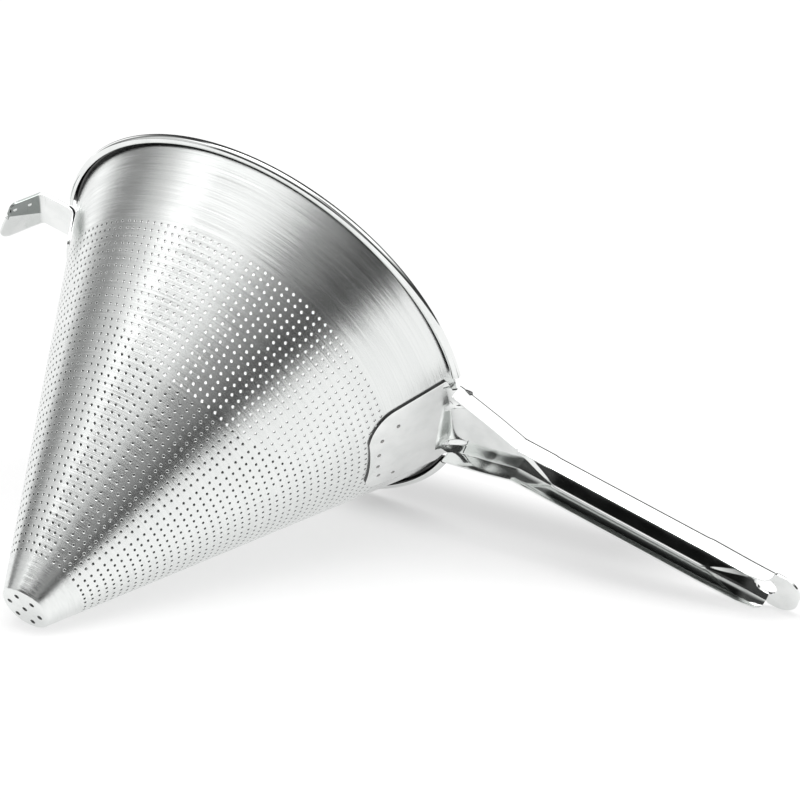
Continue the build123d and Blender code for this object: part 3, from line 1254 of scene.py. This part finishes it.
@dataclass
class Bracket(Fitted):
    """Plate wrapped on the wall under the rim and bent outward to the handle."""

    sheet: float = 1.2
    half: float = 36.7
    foot_half: float = 29.8
    drop: float = 55.4
    corner: float = 17.0
    bend: float = 12.0
    tongue: float = 29.0
    tongue_start: float = 1.0
    tongue_run: float = 2.0
    underside: float = 1.1
    dart_side: float = 17.0
    dart_half: float = 2.4
    columns: int = 96
    bend_rows: int = 16
    foot_rows: int = 12
    leg_rows: int = 14
    foot_share: float = 0.32
    foot_turn: float = 1.2
    softness: float = 0.2
    welds: tuple[Spot, ...] = ((-0.58, 0.66), (-0.43, 0.85), (-0.14, 0.89), (0.14, 0.89),
                               (0.43, 0.85), (0.58, 0.66))

    def reach(self) -> float:
        """Radius at which the bend is level."""
        return self.cone.over(self.underside, self.sheet) + self.cone.tangent(self.bend)

    def half_at(self, z: float) -> float:
        """Half width of the plate.

        Args:
            z: height at which the width is read.

        Returns:
            The half width, with the rounded foot and the tongue.
        """
        bottom = -self.drop * self.cone.cos - self.sheet * self.cone.sin
        shoulder = -self.cone.bead_radius - self.sheet
        half = between(z, ((bottom, self.foot_half), (shoulder, self.half)))
        half += (self.tongue - half) * smooth((z - shoulder + self.tongue_start) / self.tongue_run)
        return half - rounding(self.corner, bottom + self.corner - z)

    def path(self) -> list[Point]:
        """Run of the outer face as (radius, height, depth of a dart).

        Returns:
            The run from the foot to the end of the bend.
        """
        tangent = self.cone.tangent(self.bend)
        corner = (self.reach() - tangent, self.underside)
        foot = self.drop + self.underside / self.cone.cos
        first = pi - self.cone.half
        middle = (first + QUARTER) / 2
        chord = self.bend * cos(middle - QUARTER)
        legs = [foot - (foot - tangent) * share for share in self.leg_shares()]
        angles = spread(first, QUARTER, self.bend_rows)[1:]
        bend = arc((self.reach(), self.underside - self.bend), self.bend, angles)
        return ([(*self.cone.down(corner, leg), 0.0) for leg in legs]
                + [(*spot, chord / cos(a - middle) - self.bend) for spot, a in zip(bend, angles)])

    def leg_shares(self) -> list[float]:
        """Shares along the leg, closer together at the rounded foot.

        Returns:
            The shares from 0 to 1.
        """
        foot = [1 - cos(t) for t in spread(0.0, self.foot_turn, self.foot_rows)]
        return ([share * self.foot_share / foot[-1] for share in foot]
                + spread(self.foot_share, 1.0, self.leg_rows)[1:])

    def build(self, finish: Polished, cut: Polished) -> None:
        """Make the plate with its bend and darts.

        Args:
            finish: its finish.
            cut: finish of its cut edge, dull and darkened further as painted shade.
        """
        centre = (self.reach(), self.underside - self.bend)
        rows = []
        for r, z, dent in self.path():
            pull = (centre[0] - r, centre[1] - z)
            size = hypot(*pull)
            row = []
            for u in spread(-1, 1, self.columns):
                y = u * self.half_at(z)
                push = dent * smooth(1 - abs(abs(y) - self.dart_side) / self.dart_half)
                dented = r - push * pull[0] / size
                row.append((sqrt(dented * dented - y * y), y, z - push * pull[1] / size))
            rows.append(row)
        draft = Draft()
        draft.grid(rows)
        piece = self.shop.sheet(draft, "bracket_plate", finish, "handle_bracket", self.sheet,
                                (1.0, 0.0, 0.0), cut)
        self.shop.soften(piece, self.softness)

    def build_welds(self, finish: Polished) -> None:
        """Make the spot weld marks.

        Args:
            finish: the marks' finish.
        """
        draft = Draft()
        for across, down in self.welds:
            spot = (across * self.half, down * self.drop)
            WeldMark().on_wall(draft, self.cone, spot, self.sheet, 0.0)
        self.shop.marks(draft, "bracket_weld_marks", finish, "bracket_welds")


@dataclass
class Handle(Fitted):
    """Neck, grip and tab, folded from one sheet that is open toward the tip.

    It starts at the reach, the radius at which the bracket's bend is level.
    """

    reach: float
    sheet: float = 1.2
    underside: float = 1.1
    drop: float = 0.9
    wall_depth: float = 7.4
    end_wall_depth: float = 5.2
    least_wall: float = 0.02
    fold: float = 1.4
    neck_start: float = 121.0
    neck_waist: float = 146.0
    neck_end: float = 162.5
    grip_start: float = 182.0
    grip_end: float = 273.0
    tab_start: float = 297.0
    wall_end: float = 310.0
    tip: float = 326.5
    root_half: float = 30.2
    waist_half: float = 21.4
    grip_half: float = 14.6
    tab_half: float = 13.8
    tab_corner: float = 11.5
    tip_half: float = 0.5
    end_radius: float = 4.0
    crown: float = 3.2
    shoulder: float = 0.5
    arch_power: float = 4.0
    arch_flatness: float = 0.6
    crease: float = 4.0
    hole_radius: float = 6.0
    hole_place: float = 308.0
    hole_sides: int = 64
    hole_reach: float = 6.0
    row_gap: float = 2.0
    neck_rows: int = 18
    crease_rows: int = 26
    grip_rows: int = 16
    end_rows: int = 28
    flat_rows: int = 2
    round_rows: int = 6
    tip_rows: int = 16
    web_columns: int = 40
    fold_steps: int = 4
    wall_steps: int = 3
    softness: float = 0.22

    def __post_init__(self) -> None:
        """Work out where the free edge of the walls turns up."""
        self.wall_turn = self.wall_end - self.end_radius

    def fall(self, x: float) -> float:
        """Small drop of the grip, counted from the end of the neck."""
        return -self.drop * max(0.0, x - self.neck_end) / (self.tip - self.neck_end)

    def half(self, x: float) -> float:
        """Half width of the handle.

        Args:
            x: distance along it.

        Returns:
            The half width.
        """
        width = between(x, ((self.neck_start, self.root_half), (self.neck_waist, self.waist_half),
                            (self.neck_end, self.grip_half), (self.grip_end, self.grip_half),
                            (self.tab_start, self.tab_half)))
        return width - rounding(self.tab_corner, x - (self.tip - self.tab_corner))

    def arched(self, x: float, y: float) -> float:
        """Share of the arch at a place.

        Args:
            x: distance along the handle.
            y: distance across it.

        Returns:
            The share, 0 on the flats beyond the creases and 1 on the grip.
        """
        out = min(1.0, abs(y) / self.grip_half)
        start = self.neck_end + (self.grip_start - self.neck_end) * out
        end = self.tab_start - (self.tab_start - self.grip_end) * out
        return smooth((x - start) / self.crease) * smooth((end - x) / self.crease)

    def web(self, x: float, y: float) -> float:
        """Height of the outer face of the web.

        Args:
            x: distance along the handle.
            y: distance across it.

        Returns:
            The height.
        """
        flat = self.underside + self.sheet
        low = self.shoulder + self.fold
        round_off = 1 - (y / (self.grip_half - self.fold)) ** self.arch_power
        arch = low + (self.crown - low) * max(0.0, round_off) ** self.arch_flatness
        return flat + self.arched(x, y) * (arch - flat) + self.fall(x)

    def wall_bottom(self, x: float) -> float:
        """Height of the free edge of the side walls."""
        depths = ((self.tab_start, -self.wall_depth), (self.wall_end, -self.end_wall_depth))
        return between(x, depths) + rounding(self.end_radius, x - self.wall_turn) + self.fall(x)

    def stations(self) -> list[float]:
        """Places along the handle up to the end of its walls.

        Returns:
            The places in rising order, close together at the creases.
        """
        gap, crease = self.row_gap, self.crease
        turns = spread(0, QUARTER, self.round_rows)
        return (spread(self.neck_start, self.neck_end - gap, self.neck_rows)
                + spread(self.neck_end, self.grip_start + crease + gap, self.crease_rows)
                + spread(self.grip_start + crease + 3 * gap, self.grip_end - crease - 3 * gap,
                         self.grip_rows)
                + spread(self.grip_end - crease - gap, self.tab_start + gap, self.end_rows)
                + spread(self.tab_start + 2 * gap, self.wall_turn - gap, self.flat_rows)
                + [self.wall_end - self.end_radius * (1 - sin(t)) for t in turns])

    def row(self, x: float) -> list[Point]:
        """Outer face across the handle.

        Args:
            x: distance along the handle.

        Returns:
            The points from one free edge to the other.
        """
        edge = self.half(x) - self.fold
        top = self.web(self.bent(x, edge), edge) - self.fold
        bottom = self.wall_bottom(x)
        levels = spread(bottom, max(top, bottom + self.least_wall), self.wall_steps)
        side = [(x, self.half(x), z) for z in levels]
        for t in spread(0.0, QUARTER, self.fold_steps)[1:]:
            along = self.bent(x, edge + self.fold * cos(t))
            side.append((along, self.half(along) - self.fold * (1 - cos(t)),
                         top + self.fold * sin(t)))
        web = []
        for u in spread(-1, 1, self.web_columns)[1:-1]:
            along = self.bent(x, abs(u) * edge)
            y = u * (self.half(along) - self.fold)
            web.append((along, y, self.web(along, y)))
        return [(a, -y, z) for a, y, z in side] + web + side[::-1]

    def bent(self, x: float, y: float) -> float:
        """Place along the handle with the neck's root drawn out to the bracket's bend.

        Args:
            x: distance along the handle.
            y: distance across it, not below 0.

        Returns:
            The new distance along the handle.
        """
        if x >= self.neck_waist:
            return x
        root = sqrt(self.reach ** 2 - min(y, self.root_half - self.fold) ** 2)
        root = self.neck_start + (root - self.neck_start) * smooth((self.root_half - y) / self.fold)
        share = (x - self.neck_start) / (self.neck_waist - self.neck_start)
        return root + (self.neck_waist - root) * share

    def build(self, finish: Polished) -> None:
        """Make the folded handle.

        Args:
            finish: its finish.
        """
        draft = Draft()
        rows = draft.grid([self.row(x) for x in self.stations()])
        leg = self.wall_steps + self.fold_steps
        last = rows[-1][leg:-leg]
        for t in spread(0, QUARTER, self.tip_rows)[1:]:
            x = self.wall_end + (self.tip - self.wall_end) * sin(t)
            width = max(self.half(min(x, self.tip - self.least_wall)), self.tip_half)
            places = [(x, u * width) for u in spread(-1, 1, len(last) - 1)]
            fresh = draft.add((a, y, self.web(a, y)) for a, y in places)
            draft.bridge(last, fresh)
            last = fresh
        piece = self.shop.sheet(draft, "folded_handle", finish, "handle_shell", self.sheet,
                                (0.0, 0.0, 1.0))
        self.shop.drill(piece, [(self.hole_place, 0.0)], self.hole_radius, self.underside,
                        self.hole_sides, self.hole_reach)
        self.shop.soften(piece, self.softness)


@dataclass
class Hook(Fitted):
    """Strap opposite the handle: a leg on the wall, a level arm and a sloping tab."""

    sheet: float = 1.5
    half: float = 12.5
    leg: float = 24.0
    level: float = -3.4
    arm: float = 141.0
    tab_length: float = 21.0
    tab_slant: float = 0.15
    tab_angle: float = 62.0
    root_bend: float = 5.0
    tab_bend: float = 3.0
    corner: float = 5.0
    columns: int = 24
    run_rows: int = 4
    bend_rows: int = 8
    corner_rows: int = 6
    softness: float = 0.3
    welds: tuple[Spot, ...] = ((-0.42, 0.67), (0.42, 0.67))
    tab_marks: tuple[Spot, ...] = ((-7.0, 5.6), (-7.6, 14.6))

    def __post_init__(self) -> None:
        """Work out the tab's slope."""
        self.sin, self.cos = sin(radians(self.tab_angle)), cos(radians(self.tab_angle))

    def tab_spot(self, past: float) -> Spot:
        """Radius and height on the tab at a distance past its bend."""
        return (self.arm + self.tab_bend * self.sin + past * self.cos,
                self.level - self.tab_bend * (1 - self.cos) - past * self.sin)

    def path(self) -> list[Spot]:
        """Under face of the strap, closer together at the rounded corners.

        Returns:
            Radii and heights from the foot to the end of the tab.
        """
        corner = (self.cone.over(self.level, self.sheet), self.level)
        tangent = self.cone.tangent(self.root_bend)
        turns = spread(0, QUARTER, self.corner_rows)
        legs = [self.leg - self.corner * (1 - cos(t)) for t in turns]
        legs += spread(self.leg - self.corner, tangent, self.run_rows)[1:-1]
        made = [self.cone.down(corner, leg) for leg in legs]
        made += arc((corner[0] + tangent, self.level - self.root_bend), self.root_bend,
                    spread(pi - self.cone.half, QUARTER, self.bend_rows))
        made += [(r, self.level) for r in spread(made[-1][0], self.arm, self.run_rows)[1:-1]]
        made += arc((self.arm, self.level - self.tab_bend), self.tab_bend,
                    spread(QUARTER, QUARTER - radians(self.tab_angle), self.bend_rows))
        runs = spread(0, self.tab_length - self.corner, self.run_rows)[1:]
        runs += [self.tab_length - self.corner * (1 - sin(t)) for t in turns[1:]]
        return made + [self.tab_spot(past) for past in runs]

    def build(self, finish: Polished, weld: Polished) -> None:
        """Make the strap and its weld marks.

        Args:
            finish: the strap's finish.
            weld: the marks' finish.
        """
        path = self.path()
        start = self.tab_spot(0.0)
        rows = []
        for place in path:
            r, z = place
            end = min(dist(place, path[0]), dist(place, path[-1]))
            half = self.half - rounding(self.corner, self.corner - end)
            past = max(0.0, (start[1] - z) / self.sin) if r > start[0] else 0.0
            row = []
            for u in spread(-1, 1, self.columns):
                more = past * self.tab_slant * u
                row.append((-sqrt(r * r - (u * half) ** 2) - more * self.cos, u * half,
                            z - more * self.sin))
            rows.append(row)
        draft = Draft()
        draft.grid(rows)
        piece = self.shop.sheet(draft, "hook_strap_bent", finish, "hook_strap", self.sheet,
                                (-1.0, 0.0, -1.0), even=False)
        self.shop.soften(piece, self.softness)
        marks = Draft()
        for across, down in self.welds:
            spot = (across * self.half, down * self.leg)
            WeldMark().on_wall(marks, self.cone, spot, self.sheet, 180.0)
        out, east = Vector((self.sin, 0, -self.cos)), Vector((0, 1, 0))
        for y, past in self.tab_marks:
            r, z = self.tab_spot(past)
            WeldMark().on_face(marks, (-sqrt(r * r - y * y), y, z), out, east, out.cross(east))
        self.shop.marks(marks, "hook_weld_marks", weld, "hook_welds")


# Studio


@dataclass(frozen=True)
class Panel:
    """Soft-edged light panel in the sky, its place and sizes in degrees."""

    azimuth: float
    elevation: float
    half_width: float
    half_height: float
    edge: float
    strength: float

    def glow(self, azimuth: Term, elevation: Term) -> Term:
        """Light of the panel in a direction given in degrees, azimuth from 0 to 360."""
        across = self.window(azimuth, self.azimuth, self.half_width)
        return across * self.window(elevation, self.elevation, self.half_height) * self.strength

    def window(self, value: Term, middle: float, half: float) -> Term:
        """Soft window of 1 inside and 0 outside a range of angles."""
        rise, fall = ((end - self.edge, end + self.edge) for end in (middle - half, middle + half))
        return value.window(rise, fall)


@dataclass
class Studio:
    """Soft light from the sky and the camera."""

    base: float = 0.05
    panels: tuple[Panel, ...] = (
        Panel(188.0, 50.0, 52.0, 12.0, 9.0, 1.2),
        Panel(190.0, 70.0, 80.0, 9.0, 6.0, 3.2),
        Panel(180.0, 90.0, 400.0, 20.0, 7.0, 2.2),
        Panel(231.0, 24.0, 20.0, 22.0, 5.0, 0.48),
        Panel(244.0, 22.0, 34.0, 22.0, 6.0, 0.20),
        Panel(140.0, 24.0, 9.0, 14.0, 8.0, 0.32),
        Panel(286.0, 6.0, 11.0, 20.0, 8.0, 1.2),
        Panel(70.0, 48.0, 40.0, 22.0, 12.0, 1.45),
    )
    position: Point = (0.7912, -1.0723, 0.6028)
    heading: float = 34.22
    tilt: float = -20.46
    roll: float = 1.22
    focal_pixels: float = 2791.4
    picture: int = 800
    sensor: float = 36.0
    far_clip: float = 60.0

    def light(self) -> None:
        """Set the sky."""
        world = bpy.data.worlds.new("studio_sky")
        shader = Shader(world)
        where = shader.node("ShaderNodeTexCoord", {}, {}, "Generated")
        x, y, z = (shader.node("ShaderNodeSeparateXYZ", {}, {0: where}, axis) for axis in range(3))
        azimuth = (0 - x).angle_from(0 - y) * degrees(1) + 180
        elevation = z.angle_from((x * x + y * y).root()) * degrees(1)
        total: Term | float = self.base
        for panel in self.panels:
            total = panel.glow(azimuth, elevation) + total
        sky = shader.node("ShaderNodeBackground", {}, {0: (1.0, 1.0, 1.0, 1.0), 1: total})
        shader.node("ShaderNodeOutputWorld", {}, {0: sky})
        bpy.context.scene.world = world

    def shoot(self) -> None:
        """Set the camera at the photograph's place."""
        data = bpy.data.cameras.new("studio_camera")
        data.sensor_width = self.sensor
        data.lens = self.focal_pixels / self.picture * self.sensor
        data.clip_end = self.far_clip
        camera = bpy.data.objects.new("studio_camera", data)
        aim = Euler((radians(90 + self.tilt), 0, radians(self.heading))).to_matrix()
        aim = aim @ Matrix.Rotation(radians(self.roll), 3, "Z")
        camera.matrix_world = Matrix.Translation(self.position) @ aim.to_4x4()
        bpy.context.scene.collection.objects.link(camera)
        bpy.context.scene.camera = camera
        bpy.context.scene.view_settings.view_transform = "Standard"


def clear_defaults() -> None:
    """Remove what a new file holds before the frame."""
    for name in ("Cube", "Light", "Camera"):
        if name in bpy.data.objects:
            bpy.data.objects.remove(bpy.data.objects[name])


def corners(bounds: Sequence[Vector]) -> list[list[float]]:
    """Write bounds as plain lists."""
    return [[float(value) for value in corner] for corner in bounds]


def main() -> None:
    """Build the strainer in its studio."""
    logging.basicConfig(level=logging.INFO)
    clear_defaults()
    packed = corners(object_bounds())
    shop = Workshop(Lie().matrix())
    cone = Cone()
    bracket = Bracket(shop, cone)
    hook = Hook(shop, cone)
    brushed = RoundBrushed()
    sheet = Polished("steel_polished_sheet")
    rim = Polished("steel_polished_rim", roughness=0.05)
    bright = Polished("steel_bright_mark", grain=700.0)
    # The holes' walls are darker as a painted shade in the holes.
    hole = Polished("steel_hole_wall_painted_shade", (0.30, 0.31, 0.305), (0.2, 0.205, 0.2), 0.3)
    weld = Polished("steel_weld_mark", (0.34, 0.34, 0.33), (0.22, 0.22, 0.215), 0.28, 0.15, 900.0)
    # Near-black finish of the bracket's cut edge and of the bead's hollow: dull cut steel darkened
    # further as painted shade.
    cut = Polished("steel_painted_shade", (0.10, 0.10, 0.10), (0.06, 0.06, 0.06), 0.35)
    cone.build(shop, brushed, hole)
    TipCap(shop, cone).build(brushed)
    RimBead(shop, cone).build(bracket.half, hook.half, rim, cut)
    bracket.build(sheet, cut)
    bracket.build_welds(weld)
    # The grip's inside carries a painted shade in its fold.
    Handle(shop, cone, bracket.reach()).build(GripFoldShade("steel_polished_grip_fold_shade"))
    # The strap's tab carries a painted shade, a dark reflection drawn into its colour.
    hook.build(StrapTabShade("steel_polished_strap_tab_shade"), bright)
    shop.settle()
    Floor().make()
    studio = Studio()
    studio.light()
    studio.shoot()
    dressed = corners(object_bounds())
    LOG.info("pieces: %s", ", ".join(shop.made))


if __name__ == "__main__":
    main()
